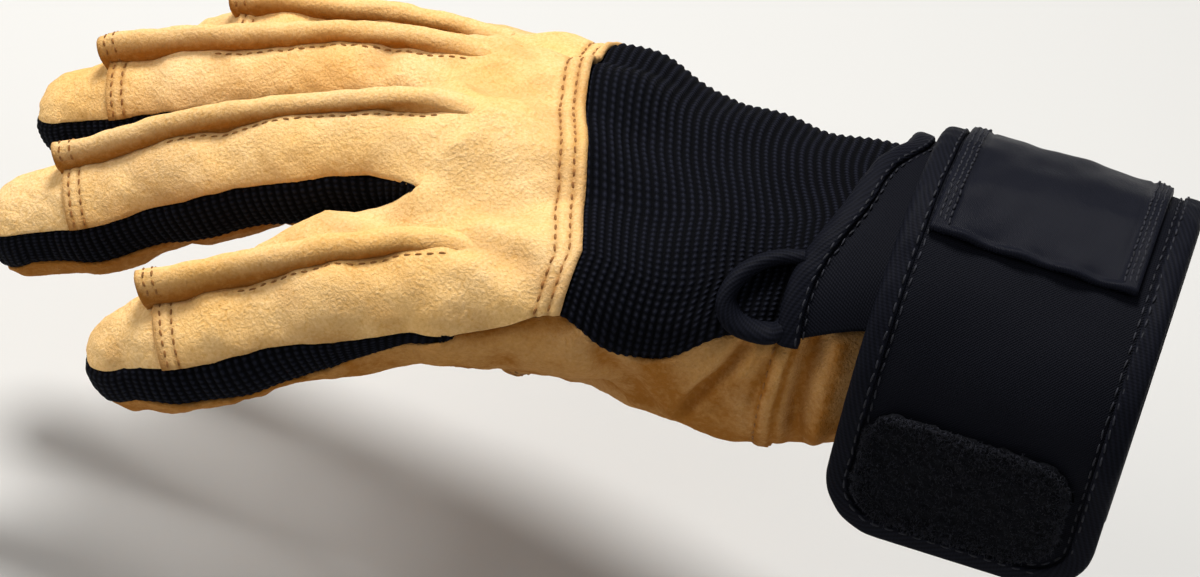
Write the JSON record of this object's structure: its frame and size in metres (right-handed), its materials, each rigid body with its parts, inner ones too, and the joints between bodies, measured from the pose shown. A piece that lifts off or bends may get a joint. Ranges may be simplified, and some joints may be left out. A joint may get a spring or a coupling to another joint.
{
  "type": "weightlifting glove",
  "caption": "Full-finger training glove for the right hand in its worn form, with a suede palm, suede finger backs, a ribbed knit back and a wrist wrap strap.",
  "frame": {"origin": "centre of the open cuff, on the cuff's end plane, where the wrist goes in", "axes": "+X out of the cuff along the wrist, -X towards the fingertips, +Z the back of the hand, -Y the thumb side"},
  "size_m": [0.2427, 0.1144, 0.0772],
  "materials": {
    "suede": "matte suede nap",
    "knit": "ribbed knit, matte",
    "strap_cloth": "fine twill over foam, matte",
    "tape": "folded edge tape, matte",
    "patch": "satin weave, plain",
    "pile": "brushed loop pile"
  },
  "bodies": {
    "root": {"leather_back": "suede", "leather_palm": "suede", "thumb_tube": "suede", "cap_thumb": "suede", "cap_index": "suede", "cap_middle": "suede", "cap_ring": "suede", "cap_little": "suede", "ridge_index": "suede", "ridge_middle": "suede", "ridge_ring": "suede", "ridge_little": "suede", "knit_back": "knit", "knit_side_index_outer": "knit", "knit_side_index_middle": "knit", "knit_side_middle_ring": "knit", "knit_side_ring_little": "knit", "knit_side_little_outer": "knit", "wrist_band": "strap_cloth", "band_loop": "strap_cloth", "wrist_strap": "strap_cloth", "band_binding": "tape", "strap_binding": "tape", "label_patch": "patch", "pile_patch": "pile"}
  },
  "joints": []
}
